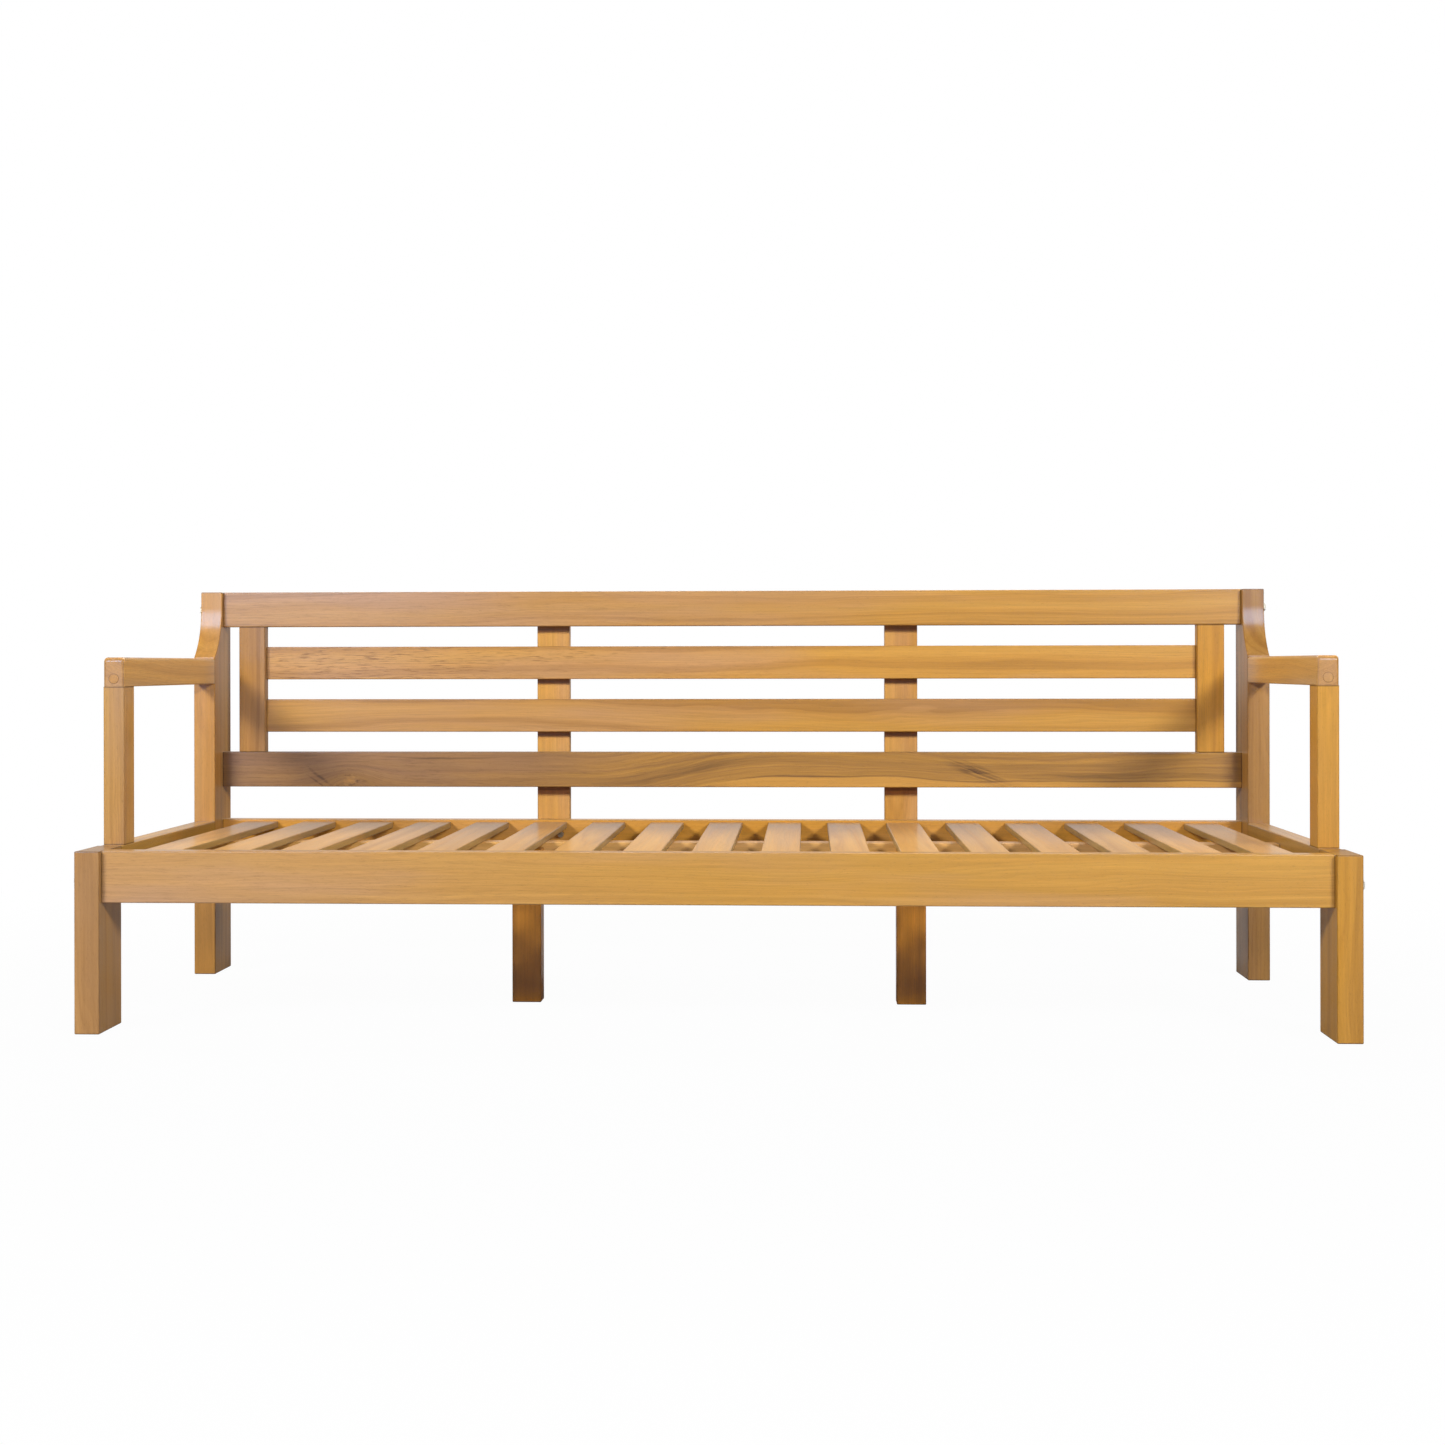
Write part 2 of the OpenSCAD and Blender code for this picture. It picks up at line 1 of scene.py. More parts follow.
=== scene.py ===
"""Looks of the three-seat garden bench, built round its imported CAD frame.

The boards are remade from their CAD nodes with softened free edges, and each gets solid wood whose fibres
run along it. Lengths are metres. +X is the bench's right-hand side, +Y its back and +Z up.
"""
import json
import math
import random
from collections import namedtuple
from functools import reduce

import bmesh
import bpy
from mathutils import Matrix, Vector

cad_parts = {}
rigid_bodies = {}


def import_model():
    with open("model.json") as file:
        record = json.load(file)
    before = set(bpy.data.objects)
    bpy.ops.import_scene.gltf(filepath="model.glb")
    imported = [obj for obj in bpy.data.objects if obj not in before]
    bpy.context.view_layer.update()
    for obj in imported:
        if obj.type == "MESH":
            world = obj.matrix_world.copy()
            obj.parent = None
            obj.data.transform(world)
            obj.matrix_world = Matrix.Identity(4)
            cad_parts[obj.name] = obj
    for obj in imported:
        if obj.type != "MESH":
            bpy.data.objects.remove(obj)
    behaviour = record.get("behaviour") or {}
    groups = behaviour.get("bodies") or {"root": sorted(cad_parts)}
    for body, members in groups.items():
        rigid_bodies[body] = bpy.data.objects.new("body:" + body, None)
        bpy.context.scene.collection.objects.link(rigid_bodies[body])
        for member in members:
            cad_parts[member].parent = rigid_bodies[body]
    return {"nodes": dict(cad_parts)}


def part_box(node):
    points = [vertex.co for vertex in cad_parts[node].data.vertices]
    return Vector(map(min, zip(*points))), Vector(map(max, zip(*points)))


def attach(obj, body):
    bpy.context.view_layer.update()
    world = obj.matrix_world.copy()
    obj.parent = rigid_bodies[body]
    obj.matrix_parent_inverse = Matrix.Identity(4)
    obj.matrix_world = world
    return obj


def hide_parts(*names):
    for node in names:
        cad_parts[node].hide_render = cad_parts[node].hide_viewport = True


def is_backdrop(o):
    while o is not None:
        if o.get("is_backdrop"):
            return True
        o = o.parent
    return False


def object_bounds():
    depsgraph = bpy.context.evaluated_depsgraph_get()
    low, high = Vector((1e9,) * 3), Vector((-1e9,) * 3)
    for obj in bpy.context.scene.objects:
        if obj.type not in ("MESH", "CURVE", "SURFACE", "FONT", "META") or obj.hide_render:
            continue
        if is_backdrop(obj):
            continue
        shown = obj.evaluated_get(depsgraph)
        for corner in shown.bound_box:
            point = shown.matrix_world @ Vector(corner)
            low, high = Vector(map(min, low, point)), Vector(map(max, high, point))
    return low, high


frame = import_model()
cad_low, cad_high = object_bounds()
scene = bpy.context.scene
X, Y, Z = range(3)

# ---------- Node trees ----------

# Noise of so many cycles a metre along, across and through a board. The shift sets it apart from the others.
Noise = namedtuple("Noise", "shift stretch detail roughness", defaults=(2.0, 0.5))


class Nodes:
    """Short calls that build one node tree. Any input may be a plain value or another node's output."""

    def __init__(self, tree):
        self.tree = tree

    def put(self, socket, value):
        if isinstance(value, bpy.types.NodeSocket):
            self.tree.links.new(value, socket)
        else:
            socket.default_value = value

    def add(self, kind, inputs=None, **settings):
        node = self.tree.nodes.new(kind)
        for name, value in settings.items():
            setattr(node, name, value)
        for key, value in (inputs or {}).items():
            self.put(node.inputs[key], value)
        return node

    def math(self, operation, a, b=0.0):
        return self.add("ShaderNodeMath", {0: a, 1: b}, operation=operation).outputs[0]

    def chain(self, operation, values):
        """The operation on the first two values, then on their result and the third, and so on."""
        return reduce(lambda a, b: self.math(operation, a, b), values)

    def plus(self, *values):
        return self.chain("ADD", values)

    def minus(self, a, b):
        return self.math("SUBTRACT", a, b)

    def times(self, *values):
        return self.chain("MULTIPLY", values)

    def most(self, *values):
        return self.chain("MAXIMUM", values)

    def least(self, *values):
        return self.chain("MINIMUM", values)

    def absolute(self, value):
        return self.math("ABSOLUTE", value)

    def weigh(self, base, parts, weights):
        """The base plus each named part times its weight."""
        return self.plus(base, *(self.times(parts[name], weight) for name, weight in weights.items()))

    def vector(self, operation, a, b):
        return self.add("ShaderNodeVectorMath", {0: a, 1: b}, operation=operation).outputs[0]

    def length(self, vector):
        return self.add("ShaderNodeVectorMath", {0: vector}, operation="LENGTH").outputs["Value"]

    def split(self, vector):
        return self.add("ShaderNodeSeparateXYZ", {0: vector}).outputs[:3]

    def join(self, x, y, z):
        return self.add("ShaderNodeCombineXYZ", {0: x, 1: y, 2: z}).outputs[0]

    def noise(self, vector, noise, seed=None):
        """Noise from 0 to 1."""
        inputs = {
            "Vector": self.vector("MULTIPLY", vector, noise.stretch),
            "W": noise.shift if seed is None else self.plus(seed, noise.shift),
            "Scale": 1.0,
            "Detail": noise.detail,
            "Roughness": noise.roughness,
        }
        return self.add("ShaderNodeTexNoise", inputs, noise_dimensions="4D").outputs[0]

    def wander(self, vector, noise, seed=None):
        """Noise from -0.5 to 0.5."""
        return self.minus(self.noise(vector, noise, seed), 0.5)

    def line_noise(self, value, detail, roughness):
        """Noise from 0 to 1 along a line."""
        inputs = {"W": value, "Scale": 1.0, "Detail": detail, "Roughness": roughness}
        return self.add("ShaderNodeTexNoise", inputs, noise_dimensions="1D").outputs[0]

    def ramp(self, value, low, high, to_low=0.0, to_high=1.0):
        """Smooth step from to_low at low to to_high at high."""
        inputs = {0: value, 1: low, 2: high, 3: to_low, 4: to_high}
        return self.add("ShaderNodeMapRange", inputs, interpolation_type="SMOOTHSTEP").outputs[0]

    def bell(self, value, middle, width):
        """1 at the middle, and falling off smoothly over the width on either side."""
        share = self.math("DIVIDE", self.minus(value, middle), width)
        return self.math("EXPONENT", self.times(share, share, -1.0))

    def mix(self, factor, a, b):
        return self.add("ShaderNodeMix", {0: factor, 6: a, 7: b}, data_type="RGBA").outputs[2]

    def dim(self, color, factor):
        return self.vector("MULTIPLY", color, self.join(factor, factor, factor))

    def shade(self, color, where, light):
        """The colour, with only this share of its light left where the value is 1."""
        return self.dim(color, self.ramp(where, 0.0, 1.0, 1.0, light))


def new_material(name):
    """An empty material, and the calls that build it."""
    material = bpy.data.materials.new(name)
    material.use_nodes = True
    material.node_tree.nodes.clear()
    return material, Nodes(material.node_tree)


SRGB_TOE = 0.04045
SRGB_TOE_SLOPE = 12.92
SRGB_OFFSET = 0.055
SRGB_POWER = 2.4


def linear(red, green, blue):
    """Linear colour with alpha, from 0 to 255 display values."""
    def channel(value):
        share = value / 255
        if share <= SRGB_TOE:
            return share / SRGB_TOE_SLOPE
        return ((share + SRGB_OFFSET) / (1 + SRGB_OFFSET)) ** SRGB_POWER
    return (channel(red), channel(green), channel(blue), 1.0)


# ---------- Solid wood ----------

WOOD_INPUTS = [
    ("Position", "NodeSocketVector"),
    ("Normal", "NodeSocketVector"),
    ("Half", "NodeSocketVector"),
    ("Seed", "NodeSocketFloat"),
    ("Pith", "NodeSocketVector"),
    ("Tilt", "NodeSocketVector"),
    ("Swirl", "NodeSocketFloat"),
    ("Bend", "NodeSocketFloat"),
    ("Figure", "NodeSocketFloat"),
    ("Flecks", "NodeSocketFloat"),
    ("Stain", "NodeSocketFloat"),
    ("Lean", "NodeSocketFloat"),
    ("Pale", "NodeSocketColor"),
    ("Mid", "NodeSocketColor"),
    ("Dark", "NodeSocketColor"),
    ("Blush", "NodeSocketColor"),
    ("Flank", "NodeSocketColor"),
]
WOOD_OUTPUTS = [
    ("Color", "NodeSocketColor"),
    ("Roughness", "NodeSocketFloat"),
    ("Height", "NodeSocketFloat"),
]

# How the growth rings' distance from the pith wanders
SLOW_WANDER = Noise(0.0, (1.7, 11, 11))
QUICK_WANDER = Noise(3.1, (8, 60, 60), detail=3)
QUICK_SHARE = 0.12

# Broad bands in cycles a metre, and the growth rings' gap, which the bands shift by up to so many rings
BAND_CYCLES = 48
BAND_SEED_STEP = 9.7
BAND_DETAIL = 4
BAND_ROUGHNESS = 0.6
RING_GAP = 0.0033
RING_SHIFT = 3.0
RING_DARKENS = (0.2, 0.9)
RING_ENDS = (0.9, 1.0, 1.0, 0.0)
RING_PATCHES = Noise(5.3, (2.5, 20, 20))
RING_STRENGTH = (0.35, 0.65, 0.1, 1.0)

# Fine grain
STREAKS = Noise(7.7, (3.5, 160, 160), detail=4, roughness=0.65)
FIBRES = Noise(9.1, (20, 800, 800))
FLECKS = Noise(11.9, (38, 620, 620), detail=3, roughness=0.6)
FLECK_STEP = (0.50, 0.68)
FLECK_ZONES = Noise(13.3, (3, 30, 30))
FLECK_ZONE_STEP = (0.42, 0.72, 0.1, 1.0)
PORES = Noise(15.7, (150, 2300, 2300))
PORE_STEP = (0.60, 0.70)

# Colour: how far each feature takes it towards another tone, and how much light it leaves. The light of
# streaks and fibres is what they leave at the least, and their gain
DRIFT = Noise(17.9, (1.6, 12, 12), detail=3)
DRIFT_STEP = (0.38, 0.70, 0.0, 0.7)
PALE_BANDS = (0.30, 0.70)
DARK_BANDS = (0.50, 0.28)
DARK_BAND_SHARE = 0.6
RING_TONE = 0.06
RING_TONE_IN_FIGURE = 0.16
BLEACHED = 1.12
STREAK_LIGHT = (0.75, 0.50)
FIBRE_LIGHT = (0.91, 0.18)
PORE_LIGHT = 0.75
END_GRAIN_LIGHT = 0.80
RUBBED_LIGHT = 0.82

# How square to a side counts as facing it, the width of the rubbed edges, and the dark lines at the ends
FACING = (0.6, 0.95)
RUBS = Noise(21.1, (30, 60, 60), detail=3)
RUB_STRENGTH = (0.3, 0.7, 0.3, 1.0)
RUB_WIDTH = (0.0006, 0.0030, 1.0, 0.0)
SEAM_WIDTH = (0.0004, 0.0024, 0.55, 0.0)

ROUGHNESS = 0.32
ROUGHNESS_WEIGHTS = {"streaks": 0.20, "pores": 0.22, "end_grain": 0.14, "rubbed": 0.08}
HEIGHT_WEIGHTS = {"streaks": 0.5, "fibres": 0.35, "pores": -0.6, "ring": -0.2, "flecks": -0.3}


def wood_group():
    """Solid wood. Position is measured from the board's middle, with its X along the fibres."""
    tree = bpy.data.node_groups.new("solid_wood", "ShaderNodeTree")
    for name, kind in WOOD_INPUTS:
        tree.interface.new_socket(name, in_out="INPUT", socket_type=kind)
    for name, kind in WOOD_OUTPUTS:
        tree.interface.new_socket(name, in_out="OUTPUT", socket_type=kind)
    n = Nodes(tree)
    given = tree.nodes.new("NodeGroupInput").outputs
    seed = given["Seed"]
    along, across, height_in_board = n.split(given["Position"])
    through = n.minus(height_in_board, given["Bend"])
    place = n.join(along, across, through)

    # Distance from the tree's pith, which wanders slowly along the board
    quick = n.times(n.wander(place, QUICK_WANDER, seed), QUICK_SHARE)
    wander = n.plus(n.wander(place, SLOW_WANDER, seed), quick)
    pith = n.split(given["Pith"])
    tilt = n.split(given["Tilt"])
    y = n.minus(n.minus(across, pith[Y]), n.times(tilt[Y], along))
    z = n.minus(n.minus(through, pith[Z]), n.times(tilt[Z], along))
    radius = n.math("SQRT", n.plus(n.times(y, y), n.times(z, z)))
    radius = n.plus(radius, n.times(wander, given["Swirl"]))

    # Broad bands and the growth rings within them
    band_place = n.plus(n.times(radius, BAND_CYCLES), n.times(seed, BAND_SEED_STEP))
    bands = n.line_noise(band_place, BAND_DETAIL, BAND_ROUGHNESS)
    ring_place = n.plus(n.math("DIVIDE", radius, RING_GAP), n.times(bands, RING_SHIFT))
    ring_share = n.math("FRACT", ring_place)
    ring = n.times(n.ramp(ring_share, *RING_DARKENS), n.ramp(ring_share, *RING_ENDS))
    ring = n.times(ring, n.ramp(n.noise(place, RING_PATCHES, seed), *RING_STRENGTH))

    # Fibres, dark flecks and pores. The flecks gather at the end that the board leans to
    streaks = n.noise(place, STREAKS, seed)
    fibres = n.noise(place, FIBRES, seed)
    fleck_and_sheen_slope = n.times(along, given["Lean"])
    fleck_zone = n.ramp(n.plus(n.noise(place, FLECK_ZONES, seed), fleck_and_sheen_slope), *FLECK_ZONE_STEP)
    flecks = n.times(n.ramp(n.noise(place, FLECKS, seed), *FLECK_STEP), fleck_zone)
    pores = n.ramp(n.noise(place, PORES, seed), *PORE_STEP)

    # Colour. Blush comes in random patches, and towards the end the board leans to as a painted cool sheen
    drift = n.plus(n.ramp(n.noise(place, DRIFT, seed), *DRIFT_STEP), fleck_and_sheen_slope)
    drift = n.add("ShaderNodeClamp", {0: drift}).outputs[0]
    figure = given["Figure"]
    color = n.mix(n.ramp(bands, *PALE_BANDS), given["Mid"], given["Pale"])
    color = n.mix(drift, color, given["Blush"])
    dark_bands = n.times(n.ramp(bands, *DARK_BANDS), figure)
    color = n.mix(n.times(dark_bands, DARK_BAND_SHARE), color, given["Dark"])
    ring_tone = n.times(ring, n.plus(RING_TONE, n.times(figure, RING_TONE_IN_FIGURE)))
    color = n.mix(ring_tone, color, given["Dark"])
    # Darkening from the board's own figure, which is partly painted shadow, and bleaching where it is
    # negative
    color = n.mix(given["Stain"], color, given["Dark"])
    color = n.mix(n.times(given["Stain"], -1.0), color, n.dim(given["Pale"], BLEACHED))
    color = n.mix(n.times(flecks, given["Flecks"]), color, given["Dark"])
    for grain, (least, gain) in ((streaks, STREAK_LIGHT), (fibres, FIBRE_LIGHT)):
        color = n.dim(color, n.plus(n.times(grain, gain), least))
    color = n.shade(color, pores, PORE_LIGHT)

    # Painted light and shade on the board's flanks, and darker end grain
    normal = n.split(given["Normal"])
    flank = n.ramp(n.absolute(normal[Y]), *FACING)
    color = n.mix(flank, color, n.vector("MULTIPLY", color, given["Flank"]))
    end_grain = n.ramp(n.absolute(normal[X]), *FACING)
    color = n.shade(color, end_grain, END_GRAIN_LIGHT)

    # The edges are a little rubbed, and the ends and shoulders show as dark lines
    inside = [n.minus(half, n.absolute(value))
              for half, value in zip(n.split(given["Half"]), (along, across, height_in_board))]
    to_edge = n.minus(n.minus(n.plus(*inside), n.least(*inside)), n.most(*inside))
    rubbed = n.times(n.ramp(to_edge, *RUB_WIDTH), n.ramp(n.noise(place, RUBS, seed), *RUB_STRENGTH))
    color = n.shade(color, rubbed, RUBBED_LIGHT)
    seam = n.times(n.ramp(inside[X], *SEAM_WIDTH), n.minus(1.0, end_grain))
    color = n.dim(color, n.minus(1.0, seam))

    parts = {
        "streaks": streaks,
        "fibres": fibres,
        "pores": pores,
        "ring": ring,
        "flecks": flecks,
        "end_grain": end_grain,
        "rubbed": rubbed,
    }
    result = tree.nodes.new("NodeGroupOutput").inputs
    n.put(result["Color"], color)
    n.put(result["Roughness"], n.weigh(ROUGHNESS, parts, ROUGHNESS_WEIGHTS))
    n.put(result["Height"], n.weigh(0.0, parts, HEIGHT_WEIGHTS))
    return tree


# Display colours. Blush is the duller, pinker wood that takes over in patches. At the end a board leans to,
# it is a painted cool sheen
Tone = namedtuple("Tone", "pale mid dark blush")
TONES = {
    "wood_amber": Tone((200, 144, 66), (187, 130, 56), (124, 82, 38), (184, 140, 94)),
    "wood_honey": Tone((206, 152, 66), (196, 140, 56), (132, 90, 44), (194, 148, 104)),
    "wood_streaked": Tone((204, 150, 66), (176, 128, 64), (92, 64, 38), (166, 124, 84)),
    # A darker, less blue copy of the wood: painted shade for the mid legs under the seat, which their high
    # gains brighten back up
    "wood_shaded": Tone((162, 106, 26), (148, 94, 20), (96, 60, 14), (150, 100, 40)),
    "wood_gold": Tone((206, 146, 48), (196, 135, 40), (128, 88, 40), (192, 138, 62)),
    "wood_straw": Tone((222, 168, 92), (210, 154, 80), (158, 108, 56), (190, 147, 104)),
}

# One board's wood: the axis its fibres run along, its CAD slot, its tone if that isn't the slot's, the
# stretch that shows between its joints, how far its rings swirl, how strong its figure and flecks are, how
# its flecks and its blush lean to one end, the blush there being a painted cool sheen, its brightness, the
# painted light and shade on its flanks, and its varnish
Board = namedtuple("Board", "grain slot tone shown swirl figure flecks lean gain flank coat")
BOARD = Board(
    grain="X", slot="wood_honey", tone=None, shown=None, swirl=0.05, figure=0.35, flecks=0.3, lean=0.0,
    gain=1.0, flank=(1.0, 1.0, 1.0), coat=0.6)
AXES = {"X": (X, Y, Z), "Y": (Y, X, Z), "Z": (Z, X, Y)}

# Where the pith may lie beside and behind a board, its tilt along the board, and the span of the seeds
PITH_ASIDE = 0.12
PITH_BEHIND = (0.04, 0.10)
PITH_TILT = 0.02
SEEDS = 50

BUMP_STRENGTH = 0.35
BUMP_DISTANCE = 0.0006
WOOD_SPECULAR = 0.2
COAT_ROUGHNESS = 0.2


def wood_material(name, board, low, high, seed, figure_and_shade=None):
    """Wood for one board in the box from low to high. Its own figure gives the Bend, and the darkening that
    holds the wood's own marks and painted shadow.
    """
    material, n = new_material("wood_" + name)
    order = AXES[board.grain]
    low, high = Vector(low), Vector(high)
    if board.shown:
        low[order[0]], high[order[0]] = board.shown
    middle = (low + high) / 2
    half = (high - low) / 2
    coordinates = n.add("ShaderNodeTexCoord").outputs
    parts = n.split(n.vector("SUBTRACT", coordinates["Object"], middle))
    place = n.join(*(parts[i] for i in order))
    normal_parts = n.split(coordinates["Normal"])
    tone = TONES[board.tone or board.slot]
    inputs = {
        "Position": place,
        "Normal": n.join(*(normal_parts[i] for i in order)),
        "Half": [half[i] for i in order],
        "Seed": seed,
        "Pith": (0, chance.uniform(-PITH_ASIDE, PITH_ASIDE), chance.uniform(*PITH_BEHIND)),
        "Tilt": (0, chance.uniform(-PITH_TILT, PITH_TILT), chance.uniform(-PITH_TILT, PITH_TILT)),
        "Swirl": board.swirl,
        "Figure": board.figure,
        "Flecks": board.flecks,
        "Lean": board.lean / half[order[0]],
        "Bend": 0.0,
        "Stain": 0.0,
        "Flank": (*board.flank, 1.0),
    }
    for field in Tone._fields:
        red, green, blue, _ = linear(*getattr(tone, field))
        inputs[field.title()] = (red * board.gain, green * board.gain, blue * board.gain, 1.0)
    if figure_and_shade:
        inputs["Bend"], inputs["Stain"] = figure_and_shade(n, place)
    group = n.add("ShaderNodeGroup", {}, node_tree=SOLID_WOOD)
    for key, value in inputs.items():
        n.put(group.inputs[key], value)
    bump = n.add("ShaderNodeBump", {
        "Strength": BUMP_STRENGTH,
        "Distance": BUMP_DISTANCE,
        "Height": group.outputs["Height"],
    })
    shader = n.add("ShaderNodeBsdfPrincipled", {
        "Base Color": group.outputs["Color"],
        "Roughness": group.outputs["Roughness"],
        "Normal": bump.outputs[0],
        "Specular IOR Level": WOOD_SPECULAR,
        "Coat Weight": board.coat,
        "Coat Roughness": COAT_ROUGHNESS,
    })
    n.add("ShaderNodeOutputMaterial", {"Surface": shader.outputs[0]})
    return material


CHANCE_SEED = 12
SOLID_WOOD = wood_group()
chance = random.Random(CHANCE_SEED)

# ---------- Figure of the lower back rail, and painted shadow at its ends ---

# Each tuple is a bell's middle and width, or a ramp's low and high and then what it goes from and to. Places
# are along the rail from its middle, or up from its middle. A level is a height that follows the fibres. The
# knot's rings are bells with a share each.
RAIL_WAVES = Noise(2.5, (5, 5, 14), detail=3, roughness=0.55)
WAVE_RISE = 0.014
BULGE_ALONG = (-0.717, 0.055)
BULGE_UP = (-0.014, 0.026)
BULGE_RISE = 0.024
CLIMB = (-0.26, 0.10, 0.0, 0.052)
FALL = (0.30, 0.45, 0.0, 0.010)
STRANDS = Noise(6.5, (9, 30, 260), detail=4, roughness=0.6)
STRAND_STEP = (0.34, 0.64, 0.5, 1.0)
STAIN_SHARE = 0.85

BAND_LEVEL = (-0.028, 0.024)
BAND_ALONG = (-0.08, 0.22)
RIGHT_BAND_LEVEL = (-0.054, 0.0085)
RIGHT_BAND_ALONG = (0.42, 0.60)
BANDS_SHARE = 0.75
HEART_LEVEL = (-0.065, -0.060, 0.0, 0.36)
UPPER_LINE_LEVEL = (0.021, 0.0025)
UPPER_LINE_ALONG = (-0.54, 0.12)
LINE_LEVEL = (-0.0625, 0.0016)
LINE_ALONG = (-0.05, 0.05)
LINES_SHARE = 0.5
STRIP_LEVEL = (-0.0655, -0.0635, 0.75, 0.0)
STRIP_ALONG = (-0.06, 0.02)
# Painted shadow of the back posts on both ends of the rail
END_SHADE = (0.010, 0.026, 0.65, 0.0)

FEATHER_ALONG = (0.47, 0.060)
FEATHER_SLOPE = 0.35
FEATHER_UP = (-0.004, 0.016)
BARBS = Noise(12.5, (14, 1, 330), detail=3, roughness=0.6)
BARB_STEP = (0.40, 0.56, 0.3, 1.3)

KNOT_AT = (-0.714, -0.0205)
KNOT_LENGTHENED = 0.7
KNOT_RAGS = Noise(9.5, (75, 75, 120), detail=5, roughness=0.7)
KNOT_RAGGED = 0.024
KNOT_GAPS = Noise(4.5, (60, 60, 90), detail=3)
KNOT_GAP_STEP = (0.42, 0.60)
KNOT_RINGS = ((0.0105, 0.0036, 1.6), (0.0205, 0.0022, 0.9))
KNOT_MIDDLE = (0.002, 0.009, 0.32, 0.0)
KNOT_CLEAR = (0.006, 0.012)
SIDE_LINE_SLOPE = 0.69
SIDE_LINE_WAVES = 0.03
SIDE_LINES = ((-0.543, 0.0045), (-0.557, 0.0030))
SIDE_LINE_ALONG = (-0.772, 0.030)


def knot_figure(n, along, through, place, waves):
    """A pale ragged middle, dark broken rings, and dark lines that slant down on the knot's left."""
    knot_along, knot_up = KNOT_AT
    flat = n.join(n.times(n.minus(along, knot_along), KNOT_LENGTHENED), 0.0, n.minus(through, knot_up))
    distance = n.plus(n.length(flat), n.times(n.wander(place, KNOT_RAGS), KNOT_RAGGED))
    rings = n.plus(*(n.times(n.bell(distance, middle, width), share) for middle, width, share in KNOT_RINGS))
    rings = n.times(rings, n.ramp(n.noise(place, KNOT_GAPS), *KNOT_GAP_STEP))
    down = n.plus(n.times(along, SIDE_LINE_SLOPE), through, n.times(waves, SIDE_LINE_WAVES))
    lines = n.plus(*(n.bell(down, *line) for line in SIDE_LINES))
    lines = n.times(lines, n.bell(along, *SIDE_LINE_ALONG))
    return n.ramp(distance, *KNOT_MIDDLE), n.ramp(distance, *KNOT_CLEAR), rings, lines


def lower_rail_figure(n, place):
    """Fibres that rise round a knot and climb past the middle, with the brown streak that follows them, and
    painted shadow at both ends.
    """
    along, across, through = n.split(place)
    waves = n.wander(place, RAIL_WAVES)
    over_knot = n.times(n.bell(along, *BULGE_ALONG), n.bell(through, *BULGE_UP), BULGE_RISE)
    climb = n.minus(n.ramp(along, *CLIMB), n.ramp(along, *FALL))
    bend = n.plus(over_knot, climb, n.times(waves, WAVE_RISE))
    level = n.minus(through, bend)
    strands = n.ramp(n.noise(n.join(along, across, level), STRANDS), *STRAND_STEP)

    # The climbing brown band, the line above the pale lower strip, and the band over it on the right
    band = n.times(n.bell(level, *BAND_LEVEL), n.bell(along, *BAND_ALONG))
    right_band = n.times(n.bell(level, *RIGHT_BAND_LEVEL), n.ramp(along, *RIGHT_BAND_ALONG))
    heart = n.ramp(level, *HEART_LEVEL)
    upper_line = n.times(n.bell(level, *UPPER_LINE_LEVEL), n.bell(along, *UPPER_LINE_ALONG))
    line = n.times(n.bell(level, *LINE_LEVEL), n.ramp(along, *LINE_ALONG))
    strip = n.times(n.ramp(level, *STRIP_LEVEL), n.ramp(along, *STRIP_ALONG))

    # Slanting feather right of the middle
    slant = n.plus(through, n.times(n.minus(along, FEATHER_ALONG[0]), FEATHER_SLOPE))
    feather = n.times(n.bell(slant, *FEATHER_UP), n.bell(along, *FEATHER_ALONG))
    feather = n.times(feather, n.ramp(n.noise(n.join(along, 0.0, slant), BARBS), *BARB_STEP))

    knot_middle, knot_clear, knot_rings, side_lines = knot_figure(n, along, through, place, waves)
    bands = n.times(n.most(band, right_band), BANDS_SHARE)
    darkening = n.most(bands, feather, upper_line, side_lines, heart)
    darkening = n.times(darkening, knot_clear, strands, STAIN_SHARE)
    darkening = n.most(darkening, n.times(n.most(line, knot_rings), LINES_SHARE))
    # Painted shadow where the back posts shade the rail's ends
    to_end = n.minus(leg_low.x, n.absolute(along))
    darkening = n.most(darkening, n.ramp(to_end, *END_SHADE))
    return bend, n.minus(n.minus(darkening, strip), knot_middle)


# ---------- Painted shadows on the centre posts -----

# Painted shadow on the centre posts' fronts: the boards that cast it, how far it reaches up behind each, its
# depth and darkness below, and the front skin that takes it
SHADOWING_BOARDS = ("back_top_rail", "back_slat_upper", "back_slat_lower", "back_lower_rail")
SHADOW_OVERLAP = 0.002
SHADOW_DEPTH = (0.006, 0.010, 0.9, 0.0)
FRONT_SKIN = (0.001, 0.002, 1.0, 0.0)


def center_post_shadows(n, place):
    """Straight fibres, with a painted shadow on the post's front under each board of the back."""
    low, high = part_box("center_post_right")
    along, _, through = n.split(place)
    height = n.plus(along, (low.z + high.z) / 2)
    on_front = n.ramp(n.plus(through, (high.y - low.y) / 2), *FRONT_SKIN)
    darkening = 0.0
    # Painted shadow under each board
    for board in SHADOWING_BOARDS:
        drop = n.minus(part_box(board)[0].z, height)
        under = n.times(n.math("GREATER_THAN", drop, -SHADOW_OVERLAP), n.ramp(drop, *SHADOW_DEPTH))
        darkening = n.most(darkening, under)
    return 0.0, n.times(darkening, on_front)


# Each board's own figure; on the centre posts it is painted shadow only, and on the lower rail partly
FIGURES_AND_SHADES = {
    "back_lower_rail": lower_rail_figure,
    "center_post_left": center_post_shadows,
    "center_post_right": center_post_shadows,
}

# ---------- Board meshes ----------

